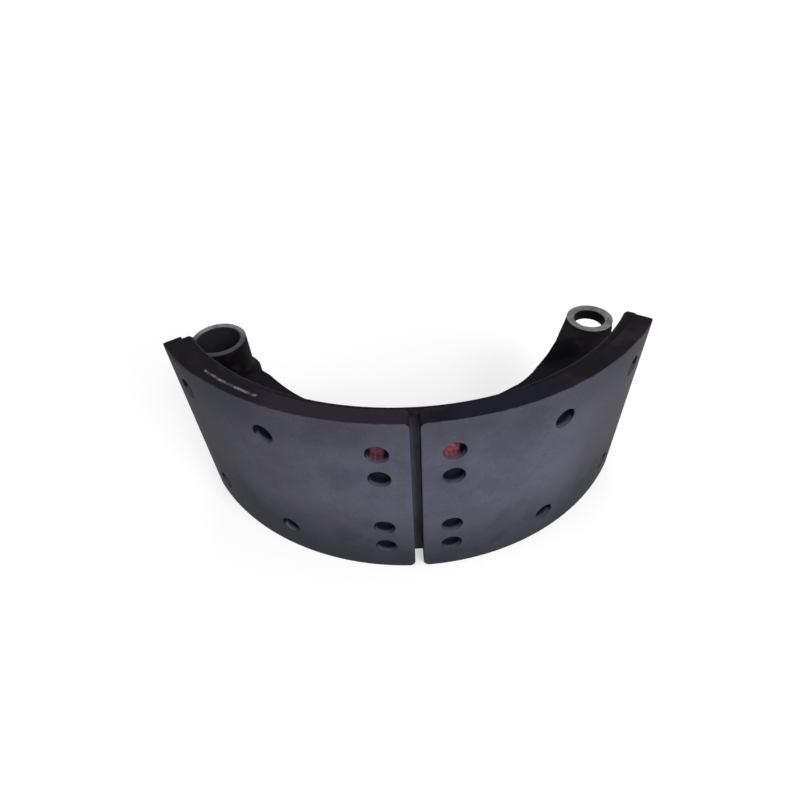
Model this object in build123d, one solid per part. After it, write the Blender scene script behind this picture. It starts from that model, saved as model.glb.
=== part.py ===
from build123d import *
import math
import os

# Drum brake shoe for a 420 x 160 mm cam brake, standing on the side edge of its lining.
# It is drawn about the drum axis (Z), the middle of the shoe facing -Y, and then moved so
# that the origin is the middle of the anchor bore, with Z along that bore.

# ---- Lining blocks -------------------------------------------------------------------
DRUM_R = 210.0            # outer face of the lining, the drum's own radius
LINING_THICKNESS = 13.0
LINING_WIDTH = 160.0
LINING_END = 57.5         # outer end of each block, degrees from the middle of the shoe
LINING_GAP = 6.6          # clear gap between the two blocks, along the drum
LINING_CORNER_R = 5.0     # the block's corners as seen along a radius
LINING_EDGE_CHAMFER = 0.8

# ---- Table: the curved plate that the linings are riveted to -----------------------------
TABLE_THICKNESS = 8.0
TABLE_WIDTH = 152.0
TABLE_EDGE = 2.0          # broken edge along the two inner corners
TABLE_R_OUT = DRUM_R - LINING_THICKNESS
TABLE_R_IN = TABLE_R_OUT - TABLE_THICKNESS

# ---- Webs: two parallel ribs under the table --------------------------------------------
WEB_OUTER_Z = 17.5        # outer face, from the middle plane
WEB_THICKNESS = 8.5
WEB_EDGE_R = 142.5        # free edge of the web: an arc whose centre is set towards the anchor
WEB_EDGE_SHIFT = 3.5
WEB_ROOT = 3.5            # slope that thickens each web's root, on both of its sides
WEB_EDGE_BREAK = 1.4      # broken edges of the web's outline

# ---- Anchor end: one long tube through both webs ------------------------------------------
ANCHOR_X = -153.8
ANCHOR_Y = -71.0
ANCHOR_TUBE_R = 22.3
ANCHOR_BORE_R = 17.5
ANCHOR_LENGTH = 100.0
BORE_CHAMFER = 1.4
TUBE_EDGE = 1.3           # broken outer edge of the tube's two ends
TUBE_FOOT = 3.0           # slope round the tube where it leaves a web's outer face
ANCHOR_BOSS_R = 27.4      # the webs' own round end, wide enough for the tube's foot
ANCHOR_BOSS_BLEND = 16.0

# ---- Cam end: a fork of two ears stepped outwards from the webs ---------------------------
ROLLER_X = 160.3
ROLLER_Y = -40.3
EYE_R = 19.6
EYE_BORE_R = 12.6
EYE_OUTER_Z = 30.5        # machined outer face of each eye
EYE_PAD_HEIGHT = 1.2      # the eye's face stands this far above the ear
EAR_THICKNESS = 8.3
EAR_OUTER_Z = EYE_OUTER_Z - EYE_PAD_HEIGHT
STEP_X = 112.0            # where the inner edge of the web starts to step outwards
STEP_Y = -87.0
STEP_ANGLE = 17.0         # direction of the step line across the web, degrees from +X
STEP_LENGTH = 13.0        # length of the slope between web and ear
STEP_BEND_R = 5.0

# ---- Rivets ------------------------------------------------------------------------------
RIVET_HEAD_R = 7.5
RIVET_HEAD_THICKNESS = 1.8
RIVET_TAIL_R = 6.2
RIVET_TAIL_THICKNESS = 1.8
COUNTERBORE_R = 8.0
COUNTERBORE_DEPTH = 8.6
ROW_OUTER_Z = 52.0        # rivet rows near the two side edges
ROW_INNER_Z = 27.8        # extra rows beside the middle gap
COLUMN_INNER = 6.8        # columns of rivets, degrees from the middle of the shoe
COLUMN_MIDDLE = 28.6
COLUMN_OUTER = 50.4


def polar(radius, degrees_from_middle):
    """Point at a radius from the drum axis and an angle from the middle of the shoe."""
    angle = math.radians(degrees_from_middle)
    return (radius * math.sin(angle), -radius * math.cos(angle))


def sector(face, start, end):
    """Revolve a section (X = radius, Y = height) from one angle to another."""
    upright = Rot(0, 0, start - 90) * (Plane.XZ * face)
    return revolve(upright, Axis.Z, revolution_arc=end - start)


def radial_frame(radius, degrees_from_middle, height):
    """Plane at a rivet: its Z points outwards along the radius, its Y along the drum axis."""
    x, y = polar(radius, degrees_from_middle)
    outwards = Vector(x, y, 0).normalized()
    return Plane(origin=(x, y, height), x_dir=Vector(0, 0, 1).cross(outwards), z_dir=outwards)


def rivet_stations():
    """Angle and height of every rivet: four in the inner columns, two in the others."""
    stations = []
    for side in (-1, 1):
        for height in (ROW_OUTER_Z, ROW_INNER_Z, -ROW_INNER_Z, -ROW_OUTER_Z):
            stations.append((side * COLUMN_INNER, height))
        for column in (COLUMN_MIDDLE, COLUMN_OUTER):
            for height in (ROW_OUTER_Z, -ROW_OUTER_Z):
                stations.append((side * column, height))
    return stations


def cylinder_between(x, y, radius, z_from, z_to):
    """Upright cylinder at a point in plan."""
    return Pos(x, y, (z_from + z_to) / 2) * Cylinder(radius, z_to - z_from)


# ---- Casting -----------------------------------------------------------------------------
def table_section():
    """Section of the table in radius and height, with the roots of both webs on it."""
    section = Pos((TABLE_R_IN + TABLE_R_OUT) / 2, 0) * Rectangle(TABLE_THICKNESS, TABLE_WIDTH)
    section = chamfer(section.vertices().sort_by(Axis.X)[:2], TABLE_EDGE)
    root_depth = WEB_ROOT + 1.5
    for side in (-1, 1):
        root = Rectangle(root_depth + 1, WEB_THICKNESS)
        middle = side * (WEB_OUTER_Z - WEB_THICKNESS / 2)
        section += Pos(TABLE_R_IN + (1 - root_depth) / 2, middle) * root
    corners = []
    for corner in section.vertices():
        if abs(corner.X - TABLE_R_IN) < 0.01 and abs(corner.Y) < WEB_OUTER_Z + 1:
            corners.append(corner)
    return chamfer(corners, WEB_ROOT)


def web_edge_to_boss(x, y, boss_r):
    """Ends of the straight line that leaves the web's free edge for a boss, tangent to both."""
    dx = x + WEB_EDGE_SHIFT
    spread = math.acos((WEB_EDGE_R + boss_r) / math.hypot(dx, y))
    heading = math.atan2(y, dx) - spread
    nx = math.cos(heading)
    ny = math.sin(heading)
    leaves = (WEB_EDGE_R * nx - WEB_EDGE_SHIFT, WEB_EDGE_R * ny)
    lands = (x - boss_r * nx, y - boss_r * ny)
    return leaves, lands


def web_edge_meets_boss(x, y, boss_r):
    """Point where the web's free edge runs into a boss that bulges past it."""
    dx = x + WEB_EDGE_SHIFT
    distance = math.hypot(dx, y)
    along = (distance ** 2 + WEB_EDGE_R ** 2 - boss_r ** 2) / (2 * distance)
    heading = math.atan2(y, dx) + math.acos(along / WEB_EDGE_R)
    return (WEB_EDGE_R * math.cos(heading) - WEB_EDGE_SHIFT, WEB_EDGE_R * math.sin(heading))


def boss_to_table(x, y, boss_r, side, leaves_at):
    """A point just inside the table, and where a line from it grazes the boss outside."""
    corner = polar(TABLE_R_IN + 1, side * leaves_at)
    dx = corner[0] - x
    dy = corner[1] - y
    spread = math.acos(boss_r / math.hypot(dx, dy))
    heading = math.atan2(dy, dx) + side * spread
    grazes = (x + boss_r * math.cos(heading), y + boss_r * math.sin(heading))
    return corner, grazes


def round_end(x, y, boss_r, start, end):
    """Arc round the free end of an arm, between two points of its boss."""
    middle = Vector((start[0] + end[0]) / 2 - x, (start[1] + end[1]) / 2 - y, 0).normalized()
    if middle.Y < 0:
        middle = -middle
    return ThreePointArc(start, (x + boss_r * middle.X, y + boss_r * middle.Y), end)


def web_plan():
    """Plan of a web: its free edge, the round ends of its two arms, and its back."""
    cam = (ROLLER_X, ROLLER_Y, EYE_R)
    anchor = (ANCHOR_X, ANCHOR_Y, ANCHOR_BOSS_R)
    waist = web_edge_meets_boss(*anchor)
    anchor_corner, anchor_grazes = boss_to_table(*anchor, -1, LINING_END - 5)
    cam_leaves, cam_lands = web_edge_to_boss(*cam)
    cam_corner, cam_grazes = boss_to_table(*cam, 1, LINING_END)
    outline = [
        ThreePointArc(waist, (-WEB_EDGE_SHIFT, -WEB_EDGE_R), cam_leaves),
        Line(cam_leaves, cam_lands),
        round_end(*cam, cam_lands, cam_grazes),
        Line(cam_grazes, cam_corner),
        ThreePointArc(cam_corner, (0, -TABLE_R_IN - 1), anchor_corner),
        Line(anchor_corner, anchor_grazes),
        round_end(*anchor, anchor_grazes, waist),
    ]
    plan = make_face(outline)
    return fillet(plan.vertices().sort_by_distance(waist)[0], ANCHOR_BOSS_BLEND)


def stepped_band():
    """Side profile of a web that steps outwards to become an ear, swept across the shoe."""
    web_in = WEB_OUTER_Z - WEB_THICKNESS
    ear_in = EAR_OUTER_Z - EAR_THICKNESS
    profile = Polygon(
        (-200, web_in),
        (3, web_in),
        (3 + STEP_LENGTH, ear_in),
        (200, ear_in),
        (200, EAR_OUTER_Z),
        (STEP_LENGTH, EAR_OUTER_Z),
        (0, WEB_OUTER_Z),
        (-200, WEB_OUTER_Z),
        align=None,
    )
    bends = [v for v in profile.vertices() if abs(v.X) < 100]
    profile = fillet(bends, STEP_BEND_R)
    turn = math.radians(STEP_ANGLE)
    step_plane = Plane(
        origin=(STEP_X, STEP_Y, 0),
        x_dir=(-math.sin(turn), math.cos(turn), 0),
        z_dir=(math.cos(turn), math.sin(turn), 0),
    )
    return extrude(step_plane * profile, amount=300, both=True)


def circular_rims(shape, x, y, radius, heights):
    """Edges of a shape that are circles or arcs about a point in plan, at given heights."""
    rims = []
    for edge in shape.edges().filter_by(GeomType.CIRCLE):
        centre = edge.arc_center
        concentric = math.hypot(centre.X - x, centre.Y - y) < 0.05
        level = any(abs(centre.Z - height) < 0.05 for height in heights)
        if concentric and level and abs(edge.radius - radius) < 0.05:
            rims.append(edge)
    return rims


def web():
    """The upper web, from the anchor tube to the end of its ear, with its edges broken."""
    plan = web_plan()
    split_x = 60.0
    anchor_half = plan & Pos(split_x - 200, 0) * Rectangle(400, 800)
    cam_half = plan & Pos(split_x + 200, 0) * Rectangle(400, 800)
    flat = Pos(0, 0, WEB_OUTER_Z - WEB_THICKNESS) * extrude(anchor_half, amount=WEB_THICKNESS)
    stepped = extrude(cam_half, amount=60) & stepped_band()
    plate = flat + stepped
    free_edges = []
    for wall in plate.faces():
        if abs(wall.normal_at(wall.center()).Z) < 0.01:
            free_edges += [edge for edge in wall.edges() if is_free_edge(edge)]
    return chamfer(free_edges, WEB_EDGE_BREAK)


def is_free_edge(edge):
    """True for the long edges of a web's outline that don't lie against the table."""
    start = edge @ 0
    end = edge @ 1
    upright = math.hypot(start.X - end.X, start.Y - end.Y) < 0.01
    start_r = math.hypot(start.X, start.Y)
    end_r = math.hypot(end.X, end.Y)
    against_table = min(start_r, end_r) > TABLE_R_IN + 0.5 and edge.length > 100
    return not upright and not against_table


def anchor_tube():
    """The anchor's tube, turned in one piece with the slopes where it leaves the webs."""
    half = ANCHOR_LENGTH / 2
    profile = [
        (ANCHOR_TUBE_R, WEB_OUTER_Z - WEB_THICKNESS / 2),
        (ANCHOR_TUBE_R + TUBE_FOOT, WEB_OUTER_Z - WEB_THICKNESS / 2),
        (ANCHOR_TUBE_R + TUBE_FOOT, WEB_OUTER_Z),
        (ANCHOR_TUBE_R, WEB_OUTER_Z + TUBE_FOOT),
        (ANCHOR_TUBE_R, half - TUBE_EDGE),
        (ANCHOR_TUBE_R - TUBE_EDGE, half),
    ]
    below = [(radius, -height) for radius, height in reversed(profile)]
    outline = Polyline((0, -half), *below, *profile, (0, half), close=True)
    return Pos(ANCHOR_X, ANCHOR_Y, 0) * revolve(Plane.XZ * make_face(outline), Axis.Z)


def eye_pad(side):
    """The machined pad round the roller pin's bore, on the outer face of one ear."""
    pad = cylinder_between(ROLLER_X, ROLLER_Y, EYE_R, EAR_OUTER_Z - 3, EYE_OUTER_Z)
    if side < 0:
        pad = mirror(pad, Plane.XY)
    return pad


def casting():
    """Table, webs, ears and anchor tube as one solid, with its two bores."""
    upper_web = web()
    body = sector(table_section(), -LINING_END, LINING_END)
    body += upper_web
    body += mirror(upper_web, Plane.XY)
    body += anchor_tube()
    body += eye_pad(1)
    body += eye_pad(-1)
    half = ANCHOR_LENGTH / 2
    body -= cylinder_between(ANCHOR_X, ANCHOR_Y, ANCHOR_BORE_R, -half - 1, half + 1)
    body -= cylinder_between(ROLLER_X, ROLLER_Y, EYE_BORE_R, -EYE_OUTER_Z - 1, EYE_OUTER_Z + 1)
    rims = circular_rims(body, ANCHOR_X, ANCHOR_Y, ANCHOR_BORE_R, (half, -half))
    rims += circular_rims(body, ROLLER_X, ROLLER_Y, EYE_BORE_R, (EYE_OUTER_Z, -EYE_OUTER_Z))
    return chamfer(rims, BORE_CHAMFER)


# ---- Linings -----------------------------------------------------------------------------
def lining(side):
    """One friction block, with rounded corners and a counterbore at each rivet."""
    gap_angle = math.degrees(LINING_GAP / 2 / DRUM_R)
    section = Pos((TABLE_R_OUT + DRUM_R) / 2, 0) * Rectangle(LINING_THICKNESS, LINING_WIDTH)
    start, end = sorted((side * gap_angle, side * LINING_END))
    block = sector(section, start, end)
    corners = []
    for edge in block.edges().filter_by(GeomType.LINE):
        if abs((edge @ 0).Z - (edge @ 1).Z) < 0.01:
            corners.append(edge)
    block = fillet(corners, LINING_CORNER_R)
    wearing_face = block.faces().filter_by(GeomType.CYLINDER).sort_by(SortBy.AREA)[-1]
    block = chamfer(wearing_face.edges(), LINING_EDGE_CHAMFER)
    for angle, height in rivet_stations():
        if angle * side > 0:
            face = radial_frame(DRUM_R, angle, height)
            block -= face * Cylinder(COUNTERBORE_R, 2 * COUNTERBORE_DEPTH)
    return block


# ---- Rivets ------------------------------------------------------------------------------
def rivet(station):
    """Head on its counterbore's floor and set tail inside the table; the shank is hidden."""
    frame = radial_frame(TABLE_R_IN, *station)
    seat = DRUM_R - COUNTERBORE_DEPTH - TABLE_R_IN
    tail_seat = math.sqrt(TABLE_R_IN ** 2 - RIVET_TAIL_R ** 2) - TABLE_R_IN
    upwards = (Align.CENTER, Align.CENTER, Align.MIN)
    downwards = (Align.CENTER, Align.CENTER, Align.MAX)
    head = Cylinder(RIVET_HEAD_R, RIVET_HEAD_THICKNESS, align=upwards)
    tail = Cylinder(RIVET_TAIL_R, RIVET_TAIL_THICKNESS, align=downwards)
    return [frame * Pos(0, 0, seat) * head, frame * Pos(0, 0, tail_seat) * tail]


def rivets():
    """All the rivets' heads and tails."""
    return [piece for station in rivet_stations() for piece in rivet(station)]


# ---- Export ------------------------------------------------------------------------------
def export(shape, node):
    """Write one node, moved so that the middle of the anchor bore is the origin."""
    export_step(Pos(-ANCHOR_X, -ANCHOR_Y, 0) * shape, "parts/" + node + ".step")


os.makedirs("parts", exist_ok=True)
export(casting(), "shoe_casting")
export(lining(-1), "lining_anchor_side")
export(lining(1), "lining_cam_side")
export(Compound(rivets()), "lining_rivets")
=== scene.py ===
"""Looks of a riveted drum brake shoe: finer surfaces, finishes and a small studio."""

import logging
import math
from dataclasses import dataclass
from enum import Enum
from typing import Any, Sequence

import bmesh
import bpy
import numpy as np
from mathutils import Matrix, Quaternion, Vector


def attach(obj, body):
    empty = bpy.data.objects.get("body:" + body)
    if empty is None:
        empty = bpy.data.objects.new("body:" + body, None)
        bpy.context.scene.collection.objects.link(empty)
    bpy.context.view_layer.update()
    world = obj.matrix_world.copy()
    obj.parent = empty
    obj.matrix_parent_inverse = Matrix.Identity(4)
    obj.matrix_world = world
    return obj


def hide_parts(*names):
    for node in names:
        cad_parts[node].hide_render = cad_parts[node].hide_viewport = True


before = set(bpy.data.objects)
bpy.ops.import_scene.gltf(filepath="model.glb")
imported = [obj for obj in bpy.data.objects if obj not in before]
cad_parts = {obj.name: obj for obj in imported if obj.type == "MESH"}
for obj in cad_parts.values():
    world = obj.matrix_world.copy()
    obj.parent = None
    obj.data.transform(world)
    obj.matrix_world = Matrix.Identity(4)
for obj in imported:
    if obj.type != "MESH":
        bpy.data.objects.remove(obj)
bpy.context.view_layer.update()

LOG = logging.getLogger("brake_shoe")

MM = 0.001
DRUM_AXIS_X = 153.8 * MM
DRUM_AXIS_Y = 71.0 * MM
DRUM_R = 210.0 * MM
SIDE_Z = 80.0 * MM

Colour = tuple[float, float, float]
Point = tuple[float, float, float]
Span = tuple[float, float]
RED_PAINT: Colour = (0.3, 0.08, 0.11)


class End(Enum):
    """The end of the shoe that a lining block covers, with the sign of its angles."""

    ANCHOR = -1
    CAM = 1


@dataclass(frozen=True)
class BoreEnd:
    """A bore's axis, and the machined ring round it at its top and bottom."""

    axis_x: float
    axis_y: float
    inner_r: float
    outer_r: float
    half_height: float
    depth: float


TUBE_END = BoreEnd(0.0, 0.0, 17.7 * MM, 22.9 * MM, 50.0 * MM, 1.5 * MM)
EYE_END = BoreEnd(314.1 * MM, 30.7 * MM, 12.8 * MM, 20.0 * MM, 30.5 * MM, 1.0 * MM)


@dataclass(frozen=True)
class Station:
    """Place of one rivet: degrees from the middle of the shoe, and height in metres."""

    angle: float
    height: float


INNER_COLUMN = 6.8
OUTER_COLUMNS = (28.6, 50.4)
OUTER_ROW = 52.0 * MM
INNER_ROW = 27.8 * MM


def rivet_stations(end: End) -> list[Station]:
    """Rivets of one block: four beside the gap, then two pairs towards its outer end.

    Args:
        end: The block's end of the shoe.

    Returns:
        The stations, with signed angles.
    """
    rows = (OUTER_ROW, INNER_ROW, -INNER_ROW, -OUTER_ROW)
    found = [Station(end.value * INNER_COLUMN, row) for row in rows]
    for column in OUTER_COLUMNS:
        found += [Station(end.value * column, row) for row in (OUTER_ROW, -OUTER_ROW)]
    return found


# ---- Surfaces --------------------------------------------------------------------------
def divided(stops: Sequence[float], step: float) -> np.ndarray:
    """Points on a line: the stops themselves, with each gap between two cut into equal parts.

    Args:
        stops: Ascending values that must be among the points.
        step: Longest distance between neighbours.

    Returns:
        The points in ascending order.
    """
    parts = [
        np.linspace(a, b, max(1, math.ceil((b - a) / step - 1e-6)), endpoint=False)
        for a, b in zip(stops, stops[1:])
    ]
    return np.concatenate([*parts, [stops[-1]]])


def bend_to_drum(along: np.ndarray, depth: np.ndarray, height: np.ndarray) -> np.ndarray:
    """Wraps flat coordinates round the drum's axis.

    The angle is the length along the drum face divided by the drum's radius, and the
    distance from the axis is the drum's radius less the depth.

    Args:
        along: Length along the drum face from the middle of the shoe.
        depth: Depth below the drum face.
        height: Height above the shoe's middle plane.

    Returns:
        Points with a last axis of three, in the row frame.
    """
    angle = along / DRUM_R
    radius = DRUM_R - depth
    x = DRUM_AXIS_X + radius * np.sin(angle)
    y = DRUM_AXIS_Y - radius * np.cos(angle)
    return np.stack(np.broadcast_arrays(x, y, height), axis=-1)


class SurfaceMesh:
    """Gathers grids of points and closes them into one smooth mesh object."""

    def __init__(self, name: str) -> None:
        """Starts an empty mesh.

        Args:
            name: Name of the finished object and its mesh.
        """
        self.name = name
        self.points: list[np.ndarray] = []
        self.faces: list[np.ndarray] = []
        self.count = 0

    def add_grid(
        self, grid: np.ndarray, keep: np.ndarray | None = None, wrap: bool = False
    ) -> None:
        """Adds a surface given as rows and columns of points, four corners to a face.

        Args:
            grid: Points as rows, columns and three coordinates.
            keep: True for each cell that gets a face, or None for all of them.
            wrap: Joins the last column to the first.
        """
        rows, columns = grid.shape[:2]
        index = self.count + np.arange(rows * columns).reshape(rows, columns)
        if wrap:
            index = np.concatenate([index, index[:, :1]], axis=1)
        corners = (index[:-1, :-1], index[1:, :-1], index[1:, 1:], index[:-1, 1:])
        cells = np.stack(corners, axis=-1)
        self.faces.append(cells.reshape(-1, 4) if keep is None else cells[keep])
        self.points.append(grid.reshape(-1, 3))
        self.count += rows * columns

    def add_triangles(self, points: np.ndarray, triangles: np.ndarray) -> None:
        """Adds loose triangles.

        Args:
            points: Corner points.
            triangles: Three indices into the points for each face.
        """
        self.faces.append(triangles + self.count)
        self.points.append(points)
        self.count += len(points)

    def build(self, merge: float = 2e-6, sharp: float = 50.0) -> bpy.types.Object:
        """Merges what meets, turns the faces outwards and makes the object.

        Args:
            merge: Points nearer than this become one.
            sharp: Edges that turn by more than this many degrees stay sharp.

        Returns:
            The object, linked into the scene, at the origin.
        """
        mesh = bpy.data.meshes.new(self.name)
        faces = [face for block in self.faces for face in block.tolist()]
        mesh.from_pydata(np.concatenate(self.points).tolist(), [], faces)
        work = bmesh.new()
        work.from_mesh(mesh)
        bmesh.ops.remove_doubles(work, verts=work.verts, dist=merge)
        bmesh.ops.dissolve_degenerate(work, edges=work.edges, dist=merge / 2)
        bmesh.ops.recalc_face_normals(work, faces=work.faces)
        work.to_mesh(mesh)
        work.free()
        mesh.shade_smooth()
        mesh.set_sharp_from_angle(angle=math.radians(sharp))
        piece = bpy.data.objects.new(self.name, mesh)
        bpy.context.scene.collection.objects.link(piece)
        return piece


# ---- Shader helpers --------------------------------------------------------------------
class Value:
    """A number that changes over a surface; Python's operators add its Math nodes."""

    def __init__(self, finish: "Nodes", socket: bpy.types.NodeSocket) -> None:
        """Wraps an output.

        Args:
            finish: Node tree that the socket is in.
            socket: The output.
        """
        self.finish = finish
        self.socket = socket

    def math(self, operation: str, *others: Any) -> "Value":
        """Adds a Math node on this value.

        Args:
            operation: The node's operation.
            others: Its further inputs, values or numbers.

        Returns:
            The result.
        """
        inputs = dict(enumerate((self, *others)))
        return self.finish.node("ShaderNodeMath", {"operation": operation}, inputs)

    def __add__(self, other: Any) -> "Value":
        """Sum."""
        return self.math("ADD", other)

    def __radd__(self, other: Any) -> "Value":
        """Sum with a number on the left."""
        return self.math("ADD", other)

    def __sub__(self, other: Any) -> "Value":
        """Difference."""
        return self.math("SUBTRACT", other)

    def __rsub__(self, other: float) -> "Value":
        """A number less this value."""
        inputs = {0: other, 1: self}
        return self.finish.node("ShaderNodeMath", {"operation": "SUBTRACT"}, inputs)

    def __mul__(self, other: Any) -> "Value":
        """Product."""
        return self.math("MULTIPLY", other)

    def __rmul__(self, other: Any) -> "Value":
        """Product with a number on the left."""
        return self.math("MULTIPLY", other)

    def __pow__(self, other: float) -> "Value":
        """Power."""
        return self.math("POWER", other)

    def __abs__(self) -> "Value":
        """Size without sign."""
        return self.math("ABSOLUTE")

    def rise(self, low: float, high: float) -> "Value":
        """Smooth step from 0 at low to 1 at high.

        Args:
            low: Where it starts.
            high: Where it ends, below low for a fall.

        Returns:
            The step.
        """
        turned = low > high
        ends = {1: min(low, high), 2: max(low, high), 3: float(turned), 4: float(not turned)}
        settings = {"interpolation_type": "SMOOTHSTEP"}
        return self.finish.node("ShaderNodeMapRange", settings, {0: self, **ends})


class Nodes:
    """The node tree of a material or a world, with one way to add any node."""

    def __init__(self, owner: bpy.types.Material | bpy.types.World) -> None:
        """Empties the owner's tree.

        Args:
            owner: A new material or world.
        """
        self.owner = owner
        owner.use_nodes = True
        self.tree = owner.node_tree
        self.tree.nodes.clear()

    @classmethod
    def material(cls, name: str) -> "Nodes":
        """Starts a material.

        Args:
            name: The material's name.

        Returns:
            Its empty tree.
        """
        return cls(bpy.data.materials.new(name))

    def node(
        self,
        kind: str,
        settings: dict[str, Any] | None = None,
        inputs: dict[int | str, Any] | None = None,
        output: int | str = 0,
    ) -> Value | None:
        """Adds a node, sets it up and links it.

        Args:
            kind: The node's type.
            settings: Its own properties, set first.
            inputs: Values or links by socket name or number.
            output: The output to return.

        Returns:
            That output, or None for a node without outputs.
        """
        made = self.tree.nodes.new(kind)
        for key, value in (settings or {}).items():
            setattr(made, key, value)
        for key, value in (inputs or {}).items():
            if isinstance(value, Value):
                self.tree.links.new(value.socket, made.inputs[key])
            else:
                made.inputs[key].default_value = value
        return Value(self, made.outputs[output]) if len(made.outputs) else None

    def place(self) -> Value:
        """Object coordinates, in metres in the row frame."""
        return self.node("ShaderNodeTexCoord", output="Object")

    def parts(self, vector: Value) -> tuple[Value, Value, Value]:
        """The three numbers of a vector."""
        split = self.node("ShaderNodeSeparateXYZ", inputs={0: vector}).socket.node
        return tuple(Value(self, output) for output in split.outputs)

    def joined(self, x: Any, y: Any, z: Any) -> Value:
        """A vector of three numbers."""
        return self.node("ShaderNodeCombineXYZ", inputs={0: x, 1: y, 2: z})

    def noise(
        self, where: Value, grain: float, detail: float = 3.0, rough: float = 0.55
    ) -> Value:
        """Cloudy noise around 0.5.

        Args:
            where: Coordinates in metres.
            grain: Size of one blotch in metres.
            detail: Finer layers on top.
            rough: Strength of the finer layers.

        Returns:
            The noise.
        """
        inputs = {"Vector": where, "Scale": 1.0 / grain, "Detail": detail, "Roughness": rough}
        return self.node("ShaderNodeTexNoise", inputs=inputs)

    def specks(self, where: Value, spacing: float, size: float) -> Value:
        """Small round specks, one to a cell.

        Args:
            where: Coordinates in metres.
            spacing: Distance between cells.
            size: A speck's reach, as a share of the spacing.

        Returns:
            1 on a speck and 0 between them.
        """
        cell = self.node("ShaderNodeTexVoronoi", inputs={"Vector": where, "Scale": 1 / spacing})
        return cell.rise(size, size * 0.5)

    def mix(self, share: Any, first: Any, second: Any) -> Value:
        """Blends two colours.

        Args:
            share: 0 for the first and 1 for the second.
            first: Colour or link.
            second: Colour or link.

        Returns:
            The blend.
        """
        ends = [c if isinstance(c, Value) else (*c, 1.0) for c in (first, second)]
        settings = {"data_type": "RGBA", "clamp_factor": True}
        inputs = {0: share, 6: ends[0], 7: ends[1]}
        return self.node("ShaderNodeMix", settings, inputs, output=2)

    def bump(self, height: Value, reach: float, strength: float = 1.0) -> Value:
        """Turns a height between 0 and 1 into a normal.

        Args:
            height: The height.
            reach: How far 1 stands out, in metres.
            strength: Share of the effect.

        Returns:
            The normal.
        """
        inputs = {"Height": height, "Distance": reach, "Strength": strength}
        return self.node("ShaderNodeBump", inputs=inputs)

    def finish(self, **sockets: Any) -> bpy.types.Material:
        """Ends the material with a Principled shader.

        Args:
            sockets: Values by socket name, with _ for a space.

        Returns:
            The material.
        """
        inputs = {name.replace("_", " "): value for name, value in sockets.items()}
        shader = self.node("ShaderNodeBsdfPrincipled", inputs=inputs)
        self.node("ShaderNodeOutputMaterial", inputs={"Surface": shader})
        return self.owner

    def seen(self) -> Value:
        """Tells what the camera sees, straight or through a reflection, from other light.

        Returns:
            1 for what is seen, 0 for other light.
        """
        names = ("Is Camera Ray", "Is Glossy Ray", "Is Transmission Ray")
        camera, glossy, through = (self.node("ShaderNodeLightPath", output=n) for n in names)
        return camera.math("MAXIMUM", glossy).math("MAXIMUM", through)


# ---- Places and masks ------------------------------------------------------------------
def drum_place(n: Nodes) -> tuple[Value, Value, Value]:
    """Coordinates about the drum's axis.

    Args:
        n: The tree.

    Returns:
        Length along the drum face from the middle of the shoe, distance from the drum's
        axis, and height.
    """
    x, y, z = n.parts(n.place())
    out_x = x - DRUM_AXIS_X
    out_y = DRUM_AXIS_Y - y
    angle = out_x.math("ARCTAN2", out_y)
    return angle * DRUM_R, (out_x ** 2.0 + out_y ** 2.0) ** 0.5, z


def above_row(z: Value) -> Value:
    """Height above the middle of the nearest row of rivets.

    Args:
        z: Height.

    Returns:
        The height less the row's own, which is the inner or the outer row's with z's sign.
    """
    outer = abs(z).math("GREATER_THAN", (OUTER_ROW + INNER_ROW) / 2)
    return z - z.math("SIGN") * (outer * (OUTER_ROW - INNER_ROW) + INNER_ROW)


def red_dabs(n: Nodes, along: Value, z: Value) -> Value:
    """Mask of two thin dabs of red paint, in the upper counterbores beside the gap.

    Each dab has its middle and half its width along the drum, and its own strength.

    Args:
        n: The tree.
        along: Length along the drum face.
        z: Height.

    Returns:
        1 on the paint.
    """
    dabs = ((23.2 * MM, 6.0 * MM, 1.0), (-26.0 * MM, 4.4 * MM, 0.62))
    drips = n.noise(n.joined(along, z * 0.4, 0.0), 3.5 * MM, 3.0) - 0.5
    level = abs(z - OUTER_ROW).rise(9.2 * MM, 8.6 * MM)
    thin = n.noise(n.joined(along, z, 0.0), 2.2 * MM, 3.0).rise(0.3, 0.66)
    masks = []
    for middle, half, most in dabs:
        away = abs(along - middle) + drips * (3.0 * MM)
        masks.append(away.rise(half + 1.4 * MM, half - 1.2 * MM) * most)
    return (masks[0] + masks[1]) * level * (0.4 + thin * 0.6)


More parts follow.
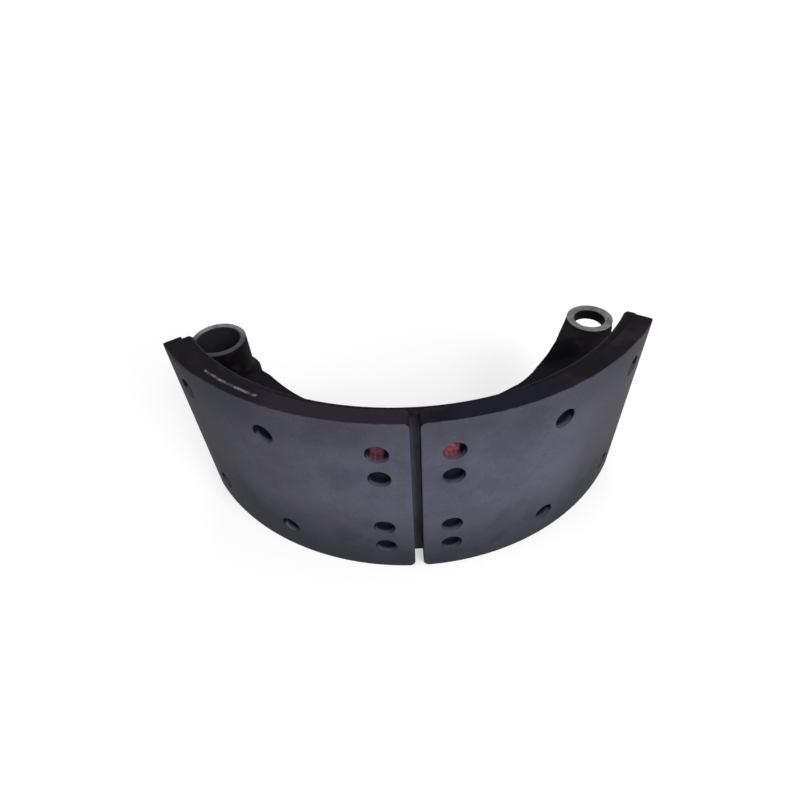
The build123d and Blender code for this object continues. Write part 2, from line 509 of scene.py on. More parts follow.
# ---- Finishes --------------------------------------------------------------------------
@dataclass(frozen=True)
class CastPaint:
    """Black paint over sand-cast iron, cut to bare metal on the faces round the bores."""

    paint: Colour = (0.0044, 0.0039, 0.0056)
    brown: Colour = (0.018, 0.0125, 0.0165)
    blue: Colour = (0.008, 0.0085, 0.018)
    worn: Colour = (0.04, 0.034, 0.036)
    lit_groove: Colour = (0.16, 0.16, 0.2)
    bore: Colour = (0.03, 0.029, 0.036)
    iron: Colour = (0.19, 0.185, 0.19)
    stain_and_shade: Colour = (0.026, 0.0235, 0.028)

    def _machined(self, n: Nodes, x: Value, y: Value, z: Value) -> Value:
        """Mask of the flat ends round the bores.

        A point is machined where it is at the full height of the tube or the eye and
        between its two radii; the bores themselves are painted over.

        Args:
            n: The tree.
            x: Place along X.
            y: Place along Y.
            z: Place along Z.

        Returns:
            1 where machined.
        """
        ragged = (n.noise(n.place(), 3 * MM, 4.0) - 0.5) * (0.7 * MM)
        masks = []
        for end in (TUBE_END, EYE_END):
            distance = ((x - end.axis_x) ** 2.0 + (y - end.axis_y) ** 2.0) ** 0.5
            ring = distance.rise(end.inner_r - 0.2 * MM, end.inner_r)
            ring = ring * distance.rise(end.outer_r, end.outer_r - 0.1 * MM)
            start = end.half_height - end.depth
            masks.append(ring * (abs(z) + ragged).rise(start, start + 0.4 * MM))
        return masks[0] + masks[1]

    def material(self) -> bpy.types.Material:
        """Makes the finish.

        The table's strip in the gap between the linings is paler, as painted light in the
        shaded groove, and fades at the top and the bottom. The side of the tube's rim next to
        the linings is darker, in the stain colour, as painted shade beside the taller linings.

        Returns:
            The material.
        """
        n = Nodes.material("cast_paint")
        place = n.place()
        x, y, z = n.parts(place)
        grain = n.noise(place, 1.3 * MM, 5.0, 0.6)
        lumps = n.noise(place, 7 * MM, 3.0)
        patches = n.noise(place, 30 * MM, 3.0)
        drift = n.noise(place, 75 * MM, 2.0)
        dust = (lumps * 0.4 + patches * 0.6).rise(0.46, 0.66)
        painted = n.mix(dust, self.paint, self.brown)
        painted = n.mix(drift.rise(0.52, 0.66) * 0.7, painted, self.blue)
        painted = n.mix(grain.rise(0.58, 0.76) * 0.3, painted, self.worn)
        along, radius, _ = drum_place(n)
        # Paler strip in the gap: painted light in the shaded groove, fading at top and bottom.
        lit_groove = abs(along).rise(4.2 * MM, 3.4 * MM) * radius.rise(195 * MM, 196 * MM)
        lit_groove = lit_groove * z.rise(78 * MM, 58 * MM) * (1 - z.rise(-10 * MM, -60 * MM) * 0.4)
        painted = n.mix(lit_groove * (0.55 + patches * 0.6), painted, self.lit_groove)
        tube = (x ** 2.0 + y ** 2.0) ** 0.5
        in_tube = tube.rise(TUBE_END.inner_r, TUBE_END.inner_r - 0.1 * MM)
        painted = n.mix(in_tube * 0.6, painted, self.bore)
        machined = self._machined(n, x, y, z)
        smear = n.noise(place, 7 * MM, 4.0).rise(0.4, 0.66) * 0.5
        # The rim's side next to the taller linings takes the stain colour: painted shade.
        near = y.rise(14 * MM, -2 * MM) * x.rise(60 * MM, 50 * MM) * 0.8
        metal = n.mix(smear.math("MAXIMUM", near), self.iron, self.stain_and_shade)
        painted_rough = 0.66 + (grain - 0.5) * 0.4 + dust * 0.1
        metal_rough = 0.5 + smear * 0.2
        height = grain * 0.55 + lumps * 0.45
        ring = n.noise(n.joined(x * 0.2, y * 0.2, z * 4.0), 0.9 * MM, 2.0)
        height = height * (1 - machined) + ring * machined * 0.12
        return n.finish(
            Base_Color=n.mix(machined, painted, metal),
            Metallic=machined * 0.15,
            Roughness=painted_rough * (1 - machined) + metal_rough * machined,
            Specular_IOR_Level=0.04,
            Normal=n.bump(height, 0.16 * MM, 0.9),
        )


@dataclass(frozen=True)
class FrictionComposite:
    """Pressed friction composite with a ground face, under black paint on its sides."""

    violet: Colour = (0.084, 0.0805, 0.114)
    pale: Colour = (0.106, 0.104, 0.142)
    plain: Colour = (0.056, 0.054, 0.062)
    deep_and_shade: Colour = (0.026, 0.027, 0.035)
    speck: Colour = (0.19, 0.19, 0.215)
    wall: Colour = (0.085, 0.087, 0.112)
    hole_shade_colour: Colour = (0.01, 0.011, 0.02)
    paint: Colour = (0.0044, 0.0039, 0.0058)
    brown: Colour = (0.0155, 0.011, 0.016)
    blue: Colour = (0.008, 0.0085, 0.019)
    haze: Colour = (0.024, 0.0165, 0.026)
    mark: Colour = (0.225, 0.2, 0.225)
    red: Colour = RED_PAINT
    stripe_middle: float = -132.0 * MM
    stripe_r: float = 203.2 * MM
    anchor_wedge: Span = (154.0 * MM, 0.19)
    cam_wedge: Span = (176.0 * MM, 0.23)

    def _ground_face(self, n: Nodes, along: Value, radius: Value, z: Value) -> Value:
        """Colour of the ground face: broad drifts of tone, faint grinding lines and specks.

        Towards both ends, low down and at the top edge it is greyer and darker, as painted
        shade. A length added along the drum only picks another part of the noise.

        Args:
            n: The tree.
            along: Length along the drum face.
            radius: Distance from the drum's axis.
            z: Height.

        Returns:
            The colour.
        """
        drum = n.joined(along, z, radius)
        drift = n.noise(drum, 90 * MM, 2.0, 0.5)
        clouds = n.noise(n.joined(along + 0.5, z, radius), 38 * MM, 3.0)
        blotch = n.noise(drum, 9 * MM, 4.0, 0.6)
        grit = n.noise(drum, 0.8 * MM, 4.0, 0.7)
        streak = n.noise(n.joined(along * 0.05, z, 0.0), 0.55 * MM, 3.0, 0.6)
        tone = drift * 0.4 + clouds * 0.35 + blotch * 0.15 + streak * 0.1
        face = n.mix(tone.rise(0.4, 0.6), self.violet, self.pale)
        # Greyer and darker towards both ends: painted shade.
        face = n.mix(abs(along).rise(110 * MM, 190 * MM) * 0.8, face, self.plain)
        # Darker low down, at the top edge and towards the anchor end: painted shade.
        low = z.rise(5 * MM, -80 * MM) * 0.8 + z.rise(40 * MM, 75 * MM) * 0.3
        anchor_end_shade = along.rise(-60 * MM, -200 * MM) * 0.5 + along.rise(-165 * MM, -200 * MM) * 0.25
        cam_end_shade = along.rise(105 * MM, 150 * MM) * 0.22
        corner = along.rise(0.0, -50 * MM) * low * 0.15
        # Random cloudy tone, plus the painted shade of the lines above.
        tone_and_shade = clouds.rise(0.5, 0.36) * 0.1 + low + anchor_end_shade + cam_end_shade + corner
        face = n.mix(tone_and_shade.math("MINIMUM", 0.9), face, self.deep_and_shade)
        face = n.mix(grit.rise(0.56, 0.4) * 0.2, face, self.deep_and_shade)
        light = n.specks(drum, 2.6 * MM, 0.16) * blotch.rise(0.42, 0.6)
        face = n.mix(light * 0.4, face, self.speck)
        dark = n.specks(n.joined(along + 0.3, z, radius), 1.9 * MM, 0.18)
        return n.mix(dark * 0.45, face, self.deep_and_shade)

    def _painted_side(self, n: Nodes, along: Value, radius: Value, z: Value) -> Value:
        """Colour of the painted sides, with the worn stripe on the upper one.

        Args:
            n: The tree.
            along: Length along the drum face.
            radius: Distance from the drum's axis.
            z: Height.

        Returns:
            The colour.
        """
        place = n.place()
        patches = n.noise(place, 26 * MM, 4.0)
        drift = n.noise(place, 75 * MM, 2.0)
        painted = n.mix(patches.rise(0.42, 0.64), self.paint, self.brown)
        painted = n.mix(drift.rise(0.52, 0.66) * 0.7, painted, self.blue)
        painted = n.mix(abs(along - 60 * MM).rise(52 * MM, 20 * MM) * 0.8, painted, self.blue)
        painted = n.mix(abs(along + 52 * MM).rise(75 * MM, 35 * MM) * 0.75, painted, self.haze)
        # Darker towards the anchor end: painted shade.
        painted = n.mix(along.rise(-90 * MM, -150 * MM) * 0.7, painted, self.paint)
        return n.mix(self._stripe(n, along, radius, z), painted, self.mark)

    def _stripe(self, n: Nodes, along: Value, radius: Value, z: Value) -> Value:
        """A worn stripe of pale paint along the upper side face, broken and uneven.

        Args:
            n: The tree.
            along: Length along the drum face.
            radius: Distance from the drum's axis.
            z: Height.

        Returns:
            1 on the paint.
        """
        span = abs(along - self.stripe_middle).rise(26 * MM, 24 * MM)
        wander = (n.noise(n.joined(along, 0.0, 0.0), 9 * MM, 2.0) - 0.5) * (1.2 * MM)
        width = abs(radius - self.stripe_r + wander).rise(1.3 * MM, 0.5 * MM)
        upper = z.rise(SIDE_Z - 0.4 * MM, SIDE_Z - 0.2 * MM)
        broken = n.noise(n.joined(along, radius * 0.3, 0.0), 4.5 * MM, 3.0).rise(0.4, 0.56)
        grit = n.noise(n.place(), 0.7 * MM, 3.0)
        return span * width * upper * (0.25 + broken * 0.75) * grit.rise(0.34, 0.56)

    def material(self) -> bpy.types.Material:
        """Makes the finish.

        The ground face is the skin at the drum's radius, less a wedge at the upper outer
        corners where the paint stays: past its start along the drum, the paint's lower edge
        falls by its slope. The counterbores' walls are bare composite, darkened towards the
        foot and on their upper side as painted shade.

        Returns:
            The material.
        """
        n = Nodes.material("friction_composite")
        along, radius, z = drum_place(n)
        drum = n.joined(along, z, radius)
        grit = n.noise(drum, 0.8 * MM, 4.0, 0.7)
        blotch = n.noise(drum, 6 * MM, 4.0, 0.6)
        skin = (radius + (grit - 0.5) * (0.5 * MM)).rise(DRUM_R - 0.75 * MM, DRUM_R - 0.35 * MM)
        brink = z + (blotch - 0.5) * (2.5 * MM)
        for way, (start, slope) in ((-1.0, self.anchor_wedge), (1.0, self.cam_wedge)):
            brink = brink + (along * way - start).math("MAXIMUM", 0.0) * slope
        ground = skin * brink.rise(SIDE_Z + 0.8 * MM, SIDE_Z - 0.8 * MM)
        inside = abs(z).rise(64 * MM, 63 * MM) * abs(along).rise(14 * MM, 15 * MM)
        inside = inside * abs(along).rise(201 * MM, 200 * MM) * (1 - ground)
        wall = n.mix(blotch.rise(0.5, 0.66) * 0.5, self.wall, self.deep_and_shade)
        # Darker deep in the counterbores and on their upper side: painted shade.
        deep_and_shade = (radius + blotch * (1 * MM)).rise(208.2 * MM, 205.6 * MM)
        hole_shade_mask = deep_and_shade.math("MAXIMUM", above_row(z).rise(-4.6 * MM, -2.0 * MM))
        wall = n.mix(hole_shade_mask, wall, self.hole_shade_colour)
        wall = n.mix(red_dabs(n, along, z) * hole_shade_mask, wall, self.red)
        rest = n.mix(inside, self._painted_side(n, along, radius, z), wall)
        face = self._ground_face(n, along, radius, z)
        height = grit * 0.6 + blotch * 0.3
        return n.finish(
            Base_Color=n.mix(ground, rest, face),
            Roughness=0.6 + (grit - 0.5) * 0.3,
            Specular_IOR_Level=0.035,
            Normal=n.bump(height, 0.07 * MM, 0.7),
        )


@dataclass(frozen=True)
class RivetSteel:
    """Steel with brake dust, heads nearly black as painted shade, two upper inner ones red."""

    steel: Colour = (0.17, 0.17, 0.175)
    dust_and_shade: Colour = (0.0035, 0.0045, 0.009)
    red: Colour = RED_PAINT

    def material(self) -> bpy.types.Material:
        """Makes the finish.

        Returns:
            The material.
        """
        n = Nodes.material("rivet_steel")
        along, radius, z = drum_place(n)
        place = n.place()
        blotch = n.noise(place, 3.5 * MM, 4.0, 0.6)
        grit = n.noise(place, 0.5 * MM, 3.0)
        head = radius.rise(194 * MM, 196 * MM)
        dust = (blotch * 0.7 + grit * 0.3).rise(0.42, 0.62) * 0.75
        # The heads are made nearly black: painted shade of the counterbores, over the dust.
        dust_and_shade = dust.math("MAXIMUM", head * 0.96)
        paint = red_dabs(n, along, z) * head
        colour = n.mix(dust_and_shade, self.steel, self.dust_and_shade)
        return n.finish(
            Base_Color=n.mix(paint, colour, self.red),
            Metallic=0.6 * (1 - paint) * (1 - dust_and_shade),
            Roughness=0.45 + dust_and_shade * 0.15,
            Specular_IOR_Level=0.06,
            Normal=n.bump(blotch * 0.6 + grit * 0.4, 0.08 * MM, 0.7),
        )


@dataclass(frozen=True)
class PaleFloor:
    """Plain pale floor that keeps the object's shadow and reads as white to the camera."""

    colour: Colour = (0.6, 0.6, 0.6)
    glow: float = 0.5
    far_glow: float = 0.55

    def material(self) -> bpy.types.Material:
        """Makes the finish.

        The floor's own glow grows with the distance from the object, where the lamps no
        longer reach it, so it stays even.

        Returns:
            The material.
        """
        n = Nodes.material("pale_floor")
        x, y, _ = n.parts(n.place())
        distance = ((x - DRUM_AXIS_X) ** 2.0 + y ** 2.0) ** 0.5
        strength = n.seen() * (self.glow + distance.rise(0.4, 1.3) * self.far_glow)
        plain = n.node("ShaderNodeBsdfDiffuse", inputs={"Color": (*self.colour, 1.0)})
        glow = n.node("ShaderNodeEmission", inputs={"Color": (1, 1, 1, 1), "Strength": strength})
        both = n.node("ShaderNodeAddShader", inputs={0: plain, 1: glow})
        n.node("ShaderNodeOutputMaterial", inputs={"Surface": both})
        return n.owner


# ---- Pieces ----------------------------------------------------------------------------
def dress(piece: bpy.types.Object, finish: bpy.types.Material, node: str) -> None:
    """Gives a finished piece its material and its body, and hides the CAD node that it stands for.

    Args:
        piece: The piece.
        finish: Its material.
        node: The CAD node.
    """
    piece.data.materials.clear()
    piece.data.materials.append(finish)
    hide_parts(node)
    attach(piece, "root")
    piece.data.calc_loop_triangles()
    LOG.info("%s: %d triangles", piece.name, len(piece.data.loop_triangles))


@dataclass
class LiningBlock:
    """One friction block: a ground face with rounded corners, pierced by counterbores."""

    end: End
    node: str
    gap: float = 6.6 * MM
    end_angle: float = 57.5
    thickness: float = 13.0 * MM
    width: float = 160.0 * MM
    corner: float = 5.0 * MM
    edge: float = 1.0 * MM
    hole_r: float = 8.0 * MM
    hole_depth: float = 8.6 * MM
    rim: float = 0.5 * MM
    fillet: float = 0.3 * MM
    margin: float = 7.0 * MM
    hole_cell: float = 11.0 * MM
    step: float = 2.2 * MM

    def _holes(self) -> np.ndarray:
        """Centres of the counterbores, as length along the drum and height."""
        stations = rivet_stations(self.end)
        return np.array([(abs(math.radians(s.angle)) * DRUM_R, s.height) for s in stations])

    def _lines(self) -> tuple[np.ndarray, np.ndarray]:
        """Grid lines along the drum and in height, with a square cell round each hole.

        Returns:
            The lines along the drum and the lines in height.
        """
        holes = self._holes()
        limits = (
            (self.gap / 2, math.radians(self.end_angle) * DRUM_R),
            (-self.width / 2, self.width / 2),
        )
        lines = []
        for axis, (low, high) in enumerate(limits):
            sides = [holes[:, axis] - self.hole_cell, holes[:, axis] + self.hole_cell]
            stops = np.concatenate([*sides, [low + self.margin, high - self.margin]])
            lines.append(divided(sorted(set(np.round(stops, 7))), self.step))
        return lines[0], lines[1]

    def _point(self, along: np.ndarray, depth: Any, height: np.ndarray) -> np.ndarray:
        """Place of flat coordinates on this block's end of the shoe."""
        return bend_to_drum(self.end.value * along, np.asarray(depth), height)

    @staticmethod
    def _sides(lines_s: np.ndarray, lines_z: np.ndarray) -> list[np.ndarray]:
        """The four sides of a rectangle of grid lines, one after the other round it.

        Args:
            lines_s: Grid lines along the drum.
            lines_z: Grid lines in height.

        Returns:
            Rows of length along the drum and height, for each side, corner to corner.
        """
        sides = (
            (lines_s, np.full(len(lines_s), lines_z[0])),
            (np.full(len(lines_z), lines_s[-1]), lines_z),
            (lines_s[::-1], np.full(len(lines_s), lines_z[-1])),
            (np.full(len(lines_z), lines_s[0]), lines_z[::-1]),
        )
        return [np.stack(side, axis=-1) for side in sides]

    def _hole(self, lines_s: np.ndarray, lines_z: np.ndarray, centre: np.ndarray) -> np.ndarray:
        """Surface of one counterbore and the square of face round it.

        Rings run from the square's border in to the rim's circle, round the rim's quarter
        circle, down the wall, round the foot and across the floor to its middle. Below the
        face the length along the drum grows as the radius shrinks, so the wall is straight.

        Args:
            lines_s: Grid lines along the drum.
            lines_z: Grid lines in height.
            centre: The hole's centre.

        Returns:
            Points by ring and by angle.
        """
        near_s = lines_s[np.abs(lines_s - centre[0]) < self.hole_cell + 1e-6]
        near_z = lines_z[np.abs(lines_z - centre[1]) < self.hole_cell + 1e-6]
        square = np.concatenate([side[:-1] for side in self._sides(near_s, near_z)]) - centre
        turn = np.arctan2(square[:, 1], square[:, 0])
        circle = np.stack([np.cos(turn), np.sin(turn)], axis=-1)
        inwards = np.linspace(0, 1, 8)[:, None, None] ** 0.8
        apron = square * (1 - inwards) + circle * (self.hole_r + self.rim) * inwards
        swing = np.linspace(0, np.pi / 2, 6)
        foot = self.fillet
        radii = np.concatenate([
            self.hole_r + self.rim * (1 - np.sin(swing[1:])),
            np.full(5, self.hole_r),
            self.hole_r - foot * (1 - np.cos(swing)),
            np.linspace(self.hole_r - foot, 0, 5)[1:],
        ])
        depths = np.concatenate([
            self.rim * (1 - np.cos(swing[1:])),
            np.linspace(self.rim, self.hole_depth - foot, 7)[1:-1],
            self.hole_depth - foot * (1 - np.sin(swing)),
            np.full(4, self.hole_depth),
        ])
        bore = circle * radii[:, None, None]
        rings = np.concatenate([apron, bore])
        depth = np.concatenate([np.zeros(len(apron)), depths])[:, None]
        along = centre[0] + rings[..., 0] * DRUM_R / (DRUM_R - depth)
        return self._point(along, depth, centre[1] + rings[..., 1])

    def _border(self, lines_s: np.ndarray, lines_z: np.ndarray) -> tuple[np.ndarray, ...]:
        """Matches the grid's border with the block's own rounded outline.

        A point on a side goes straight out to the outline; a corner point fans out over
        the outline's quarter circle.

        Args:
            lines_s: Grid lines along the drum.
            lines_z: Grid lines in height.

        Returns:
            The grid's points, the outline's points and its outward normals.
        """
        high = np.array((lines_s[-1], lines_z[-1])) + self.margin
        low = np.array((lines_s[0], lines_z[0])) - self.margin
        fan = np.linspace(0, np.pi / 2, 10)
        inner, outer, normal = [], [], []
        turns = (-np.pi / 2, 0.0, np.pi / 2, np.pi)
        corners = ((1, 0), (1, 1), (0, 1), (0, 0))
        sides = self._sides(lines_s, lines_z)
        for side, turn, (east, north) in zip(sides, turns, corners):
            facing = np.array((math.cos(turn), math.sin(turn)))
            inner.append(side)
            outer.append(side + facing * self.margin)
            normal.append(np.broadcast_to(facing, side.shape))
            swung = np.stack([np.cos(turn + fan), np.sin(turn + fan)], axis=-1)
            middle = np.array((
                high[0] - self.corner if east else low[0] + self.corner,
                high[1] - self.corner if north else low[1] + self.corner,
            ))
            inner.append(np.broadcast_to(side[-1], swung.shape))
            outer.append(middle + self.corner * swung)
            normal.append(swung)
        return np.concatenate(inner), np.concatenate(outer), np.concatenate(normal)

    def _shell(self, lines_s: np.ndarray, lines_z: np.ndarray) -> np.ndarray:
        """Rings from the grid's border over the edge, down the side and under the block.

        Args:
            lines_s: Grid lines along the drum.
            lines_z: Grid lines in height.

        Returns:
            Points by ring and by place round the outline.
        """
        inner, outer, normal = self._border(lines_s, lines_z)
        swing = np.linspace(0, np.pi / 2, 7)
        back = self.fillet
        flat = np.linspace(0, 1, 5)[:, None, None]
        face = inner * (1 - flat) + (outer - normal * self.edge) * flat
        insets = np.concatenate([
            self.edge * (1 - np.sin(swing[1:])),
            np.zeros(6),
            back * (1 - np.cos(swing)),
        ])
        depths = np.concatenate([
            self.edge * (1 - np.cos(swing[1:])),
            np.linspace(self.edge, self.thickness - back, 8)[1:-1],
            self.thickness - back * (1 - np.sin(swing)),
        ])
        wall = outer - normal * insets[:, None, None]
        rings = np.concatenate([face, wall, inner[None]])
        depth = np.concatenate([np.zeros(len(face)), depths, [self.thickness]])[:, None]
        return self._point(rings[..., 0], depth, rings[..., 1])

    def build(self) -> bpy.types.Object:
        """Makes the block's mesh.

        Returns:
            The block.
        """
        lines_s, lines_z = self._lines()
        surface = SurfaceMesh(self.node.replace("lining", "block"))
        middle_s = ((lines_s[1:] + lines_s[:-1]) / 2)[:, None]
        middle_z = ((lines_z[1:] + lines_z[:-1]) / 2)[None]
        keep = np.ones((len(lines_s) - 1, len(lines_z) - 1), bool)
        for centre in self._holes():
            near = np.abs(middle_s - centre[0]) < self.hole_cell
            keep &= ~(near & (np.abs(middle_z - centre[1]) < self.hole_cell))
            surface.add_grid(self._hole(lines_s, lines_z, centre), wrap=True)
        along, height = np.meshgrid(lines_s, lines_z, indexing="ij")
        surface.add_grid(self._point(along, 0.0, height), keep)
        surface.add_grid(self._point(along, self.thickness, height))
        surface.add_grid(self._shell(lines_s, lines_z), wrap=True)
        return surface.build()

    def make(self, finish: bpy.types.Material) -> None:
        """Builds the block and dresses it."""
        dress(self.build(), finish, self.node)


@dataclass
class Casting:
    """The shoe's casting: the CAD solid, merged, with its webs' free edge eased.

    Weighted normals make its edges look rounded.
    """

    node: str = "shoe_casting"
    web_half: float = 31.0 * MM
    web_radii: Span = (150.0 * MM, 186.0 * MM)
    tube_radii: Span = (22.5 * MM, 34.0 * MM)
    eye_radii: Span = (19.8 * MM, 27.0 * MM)
    boss_r: float = 27.4 * MM
    boss_trim: float = 1.7 * MM
    boss_fade: float = 18.0 * MM
    edge_angles: tuple[float, ...] = (
        -68, -63, -60, -54, -45, 0, 30, 36, 40, 48, 51, 54, 57, 60, 70, 78
    )
    edge_trims: tuple[float, ...] = (
        0, 3.4, 4.6, 4.4, 4.6, 4.4, 4.4, 3.6, 2.3, 2.4, 3, 1.4, -0.8, -2, -3.4, 0
    )
    table_radii: Span = (184.0 * MM, 188.0 * MM)
    table_angles: Span = (54.0, 57.2)
    table_run: float = 1.2

    def _eased(self, points: np.ndarray) -> np.ndarray:
        """Sets the webs' free edge in or out by a few millimetres in plan.

        Round the tube the webs' boss is drawn in: the distance from the tube's axis shrinks
        by boss_trim at boss_r, fading to nothing at the tube's wall and boss_fade outside.
        Elsewhere the distance from the drum's axis shrinks by the trim for the point's
        angle, fading to nothing at the table, the tube and the eye. The table's last few
        degrees at the cam end are stretched round the drum's axis by table_run degrees, so
        that it stands a little past the lining. Heights stay.

        Args:
            points: Points as rows of three coordinates.

        Returns:
            The moved points.
        """
        moved = points.copy()
        tube = np.hypot(points[:, 0], points[:, 1])
        stops = (self.tube_radii[0], self.boss_r, self.boss_r + self.boss_fade)
        away = np.stack([points[:, 0] - DRUM_AXIS_X, points[:, 1] - DRUM_AXIS_Y], axis=-1)
        radius = np.hypot(away[:, 0], away[:, 1])
        web = np.interp(radius, self.web_radii, (1.0, 0.0))
        web = web * (np.abs(points[:, 2]) < self.web_half)
        draw = np.interp(tube, stops, (0.0, self.boss_trim, 0.0)) * web
        moved[:, :2] -= points[:, :2] * (draw / np.maximum(tube, MM))[:, None]
        eye = np.hypot(points[:, 0] - EYE_END.axis_x, points[:, 1] - EYE_END.axis_y)
        off_eye = np.interp(eye, self.eye_radii, (0.0, 1.0))
        clear = np.interp(tube, self.tube_radii, (0.0, 1.0)) * off_eye
        angle = np.degrees(np.arctan2(away[:, 0], -away[:, 1]))
        trim = np.interp(angle, self.edge_angles, np.array(self.edge_trims) * MM)
        moved[:, :2] -= away * (trim * clear * web / np.maximum(radius, MM))[:, None]
        run = np.radians(np.interp(angle, self.table_angles, (0.0, self.table_run)))
        run *= np.interp(radius, self.table_radii, (0.0, 1.0)) * off_eye
        moved[:, 0] -= away[:, 1] * run
        moved[:, 1] += away[:, 0] * run
        return moved

    def build(self) -> bpy.types.Object:
        """Copies the CAD triangles, merges their corners and weights their normals.

        Returns:
            The casting.
        """
        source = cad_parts[self.node].data
        points = np.empty(len(source.vertices) * 3, np.float32)
        source.vertices.foreach_get("co", points)
        corners = np.empty(len(source.loops), np.int32)
        source.loops.foreach_get("vertex_index", corners)
        surface = SurfaceMesh("casting")
        eased = self._eased(points.reshape(-1, 3).astype(float))
        surface.add_triangles(eased, corners.reshape(-1, 3))
        piece = surface.build(merge=4e-6, sharp=50.0)
        weighted = piece.modifiers.new("weighted", "WEIGHTED_NORMAL")
        weighted.keep_sharp = True
        weighted.weight = 100
        return piece

    def make(self, finish: bpy.types.Material) -> None:
        """Builds the casting and dresses it."""
        dress(self.build(), finish, self.node)


@dataclass
class Rivets:
    """All sixteen rivets: a flat head in each counterbore and a rolled tail inside."""

    node: str = "lining_rivets"
    table_in: float = 189.0 * MM
    seat: float = 201.4 * MM
    head_r: float = 7.5 * MM
    head_t: float = 1.8 * MM
    rim_r: float = 0.45 * MM
    crown_fall: float = 0.12 * MM
    foot: float = 0.2 * MM
    tail_r: float = 6.2 * MM
    tail_t: float = 1.8 * MM
    bore_r: float = 2.9 * MM
    around: int = 48

    def _frames(self) -> tuple[np.ndarray, np.ndarray, np.ndarray, np.ndarray]:
        """Each rivet's own directions, and the point on the drum's axis that it is square to.

        Returns:
            The directions outwards, across and up, and the foot points.
        """
        stations = rivet_stations(End.ANCHOR) + rivet_stations(End.CAM)
        angle = np.radians([s.angle for s in stations])
        outwards = np.stack([np.sin(angle), -np.cos(angle), 0 * angle], axis=-1)
        across = np.stack([np.cos(angle), np.sin(angle), 0 * angle], axis=-1)
        foot = np.array([(DRUM_AXIS_X, DRUM_AXIS_Y, s.height) for s in stations])
        return outwards, across, np.array((0.0, 0.0, 1.0)), foot

    def _turned(self, profile: np.ndarray) -> np.ndarray:
        """Turns a profile of radius and height round every rivet's axis at once.

        A point is the rivet's foot, plus the height along its outward direction, plus the
        radius times the cosine across and the sine up.

        Args:
            profile: Rows of radius and distance from the drum's axis.

        Returns:
            Points by rivet, by profile row and by angle.
        """
        outwards, across, up, foot = self._frames()
        turn = np.linspace(0, 2 * np.pi, self.around, endpoint=False)
        radius = profile[None, :, None, 0, None]
        height = profile[None, :, None, 1, None]
        cosine = np.cos(turn)[None, None, :, None]
        sine = np.sin(turn)[None, None, :, None]
        spread = radius * (cosine * across[:, None, None] + sine * up)
        return foot[:, None, None] + height * outwards[:, None, None] + spread

    def _head(self) -> np.ndarray:
        """Profile of a head: seat, rounded rim, slightly crowned top and a small dimple.

        The rim is a quarter circle, and the crown falls with the square of the radius.

        Returns:
            Rows of radius and distance from the drum's axis.
        """
        swing = np.linspace(0, np.pi / 2, 6)
        top = self.seat + self.head_t
        soft, fall, foot = self.rim_r, self.crown_fall, self.foot
        edge = self.head_r - soft
        rim = [(edge + soft * math.cos(a), top - soft + soft * math.sin(a) - fall) for a in swing]
        crown = [(r * MM, top - fall * (r / 7.0) ** 2) for r in (6.0, 4.6, 3.4, 2.5)]
        dimple = [(2.0 * MM, top - fall), (1.5 * MM, top - 0.35 * MM), (0.0, top - 0.5 * MM)]
        seat = [(0.0, self.seat), (self.head_r - foot, self.seat), (self.head_r, self.seat + foot)]
        return np.array([*seat, *rim, *crown, *dimple])

    def _tail(self) -> np.ndarray:
        """Profile of a set tail: a rolled lip round the rivet's hollow.

        The lip is a half circle in width, flattened by a power of its sine, and starts
        where the tail's edge meets the inside of the table.

        Returns:
            Rows of radius and distance from the drum's axis.
        """
        base = math.sqrt(self.table_in ** 2 - self.tail_r ** 2)
        swing = np.linspace(0, np.pi, 11)
        middle = (self.tail_r + self.bore_r) / 2
        half = (self.tail_r - self.bore_r) / 2
        rolled = [(math.cos(a), math.sin(a) ** 0.8) for a in swing]
        lip = [(middle + half * out, base - self.tail_t * rise) for out, rise in rolled]
        hollow_r, shank_r, end = self.bore_r, 4.0 * MM, base + 8 * MM
        hollow = [(hollow_r, base + 3 * MM), (hollow_r * 0.9, base + 6 * MM), (0.0, base + 7 * MM)]
        shank = [(0.0, end), (shank_r, end), (shank_r, base)]
        return np.array([*shank, *lip, *hollow])

    def build(self) -> bpy.types.Object:
        """Makes every head and tail in one mesh.

        Returns:
            The rivets.
        """
        surface = SurfaceMesh("rivets")
        for profile in (self._head(), self._tail()):
            for turned in self._turned(profile):
                surface.add_grid(turned, wrap=True)
        return surface.build(sharp=40.0)

    def make(self, finish: bpy.types.Material) -> None:
        """Builds the rivets and dresses them."""
        dress(self.build(), finish, self.node)


@dataclass(frozen=True)
class SoftLamp:
    """A square soft lamp that faces the middle of the shoe."""

    name: str
    place: Point
    size: float
    power: float
    faces: Point = (DRUM_AXIS_X, -0.05, 0.0)

    def hang(self) -> None:
        """Makes the lamp and links it into the scene."""
        light = bpy.data.lights.new(self.name, "AREA")
        light.shape = "SQUARE"
        light.size = self.size
        light.energy = self.power
        lamp = bpy.data.objects.new(self.name, light)
        lamp.location = self.place
        facing = Vector(self.faces) - Vector(self.place)
        lamp.rotation_mode = "QUATERNION"
        lamp.rotation_quaternion = facing.to_track_quat("-Z", "Y")
        bpy.context.scene.collection.objects.link(lamp)


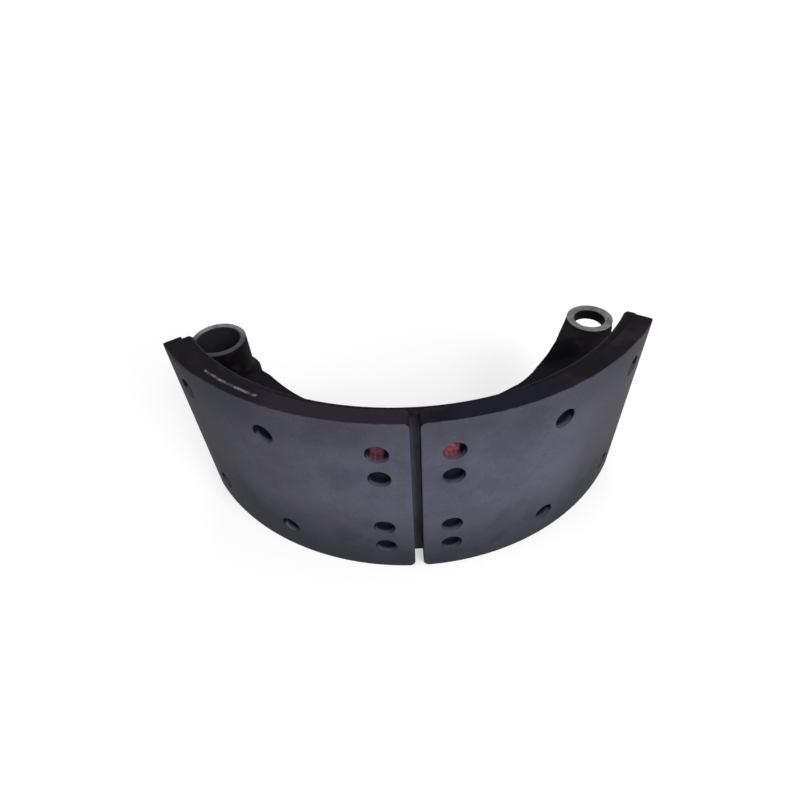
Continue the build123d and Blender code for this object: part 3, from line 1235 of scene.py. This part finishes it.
@dataclass
class Studio:
    """Floor, soft lamps, world and camera."""

    floor_z: float = -SIDE_Z
    floor_half: float = 6.0
    world_light: float = 0.42
    lamps: tuple[SoftLamp, ...] = (
        SoftLamp("key", (0.85, -1.15, 0.95), 0.9, 19.0),
        SoftLamp("fill", (-0.9, -0.6, 1.2), 1.2, 5.0),
        SoftLamp("back", (0.3, 1.2, 1.3), 1.2, 4.5),
    )
    eye: Point = (0.14867, -0.36798, 0.30955)
    aim: Point = (0.1508, -0.079, 0.02093)
    roll: float = -2.644
    lens: float = 24.645
    shift: Span = (-0.01122, 0.02915)

    def floor(self) -> None:
        """Lays the floor, a plain square far wider than the view."""
        half = self.floor_half
        corners = [(-half, -half), (half, -half), (half, half), (-half, half)]
        mesh = bpy.data.meshes.new("floor")
        mesh.from_pydata([(x, y, self.floor_z) for x, y in corners], [], [(0, 1, 2, 3)])
        floor = bpy.data.objects.new("floor", mesh)
        bpy.context.scene.collection.objects.link(floor)
        mesh.materials.append(PaleFloor().material())

    def world(self) -> None:
        """Even pale world light, seen as white by the camera."""
        n = Nodes(bpy.data.worlds.new("studio"))
        level = n.seen() * (1.0 - self.world_light) + self.world_light
        light = n.node("ShaderNodeBackground", inputs={"Color": (1, 1, 1, 1), "Strength": level})
        n.node("ShaderNodeOutputWorld", inputs={"Surface": light})
        bpy.context.scene.world = n.owner

    def camera(self) -> None:
        """Sets the camera where the object is seen from, with its roll and shift."""
        data = bpy.data.cameras.new("camera")
        data.sensor_width = 36.0
        data.lens = self.lens
        data.shift_x, data.shift_y = self.shift
        data.clip_start = 0.01
        camera = bpy.data.objects.new("camera", data)
        camera.location = self.eye
        camera.rotation_mode = "QUATERNION"
        facing = (Vector(self.aim) - Vector(self.eye)).to_track_quat("-Z", "Y")
        camera.rotation_quaternion = facing @ Quaternion((0, 0, 1), math.radians(self.roll))
        bpy.context.scene.collection.objects.link(camera)
        bpy.context.scene.camera = camera

    def build(self) -> None:
        """Sets the whole studio up."""
        bpy.context.scene.view_settings.view_transform = "Standard"
        self.floor()
        self.world()
        for lamp in self.lamps:
            lamp.hang()
        self.camera()
        LOG.info("studio ready")


def main() -> None:
    """Builds the shoe's pieces in order, then the studio."""
    logging.basicConfig(level=logging.INFO, format="%(message)s")
    Casting().make(CastPaint().material())
    composite = FrictionComposite().material()
    LiningBlock(End.ANCHOR, "lining_anchor_side").make(composite)
    LiningBlock(End.CAM, "lining_cam_side").make(composite)
    Rivets().make(RivetSteel().material())
    Studio().build()


if __name__ == "__main__":
    main()
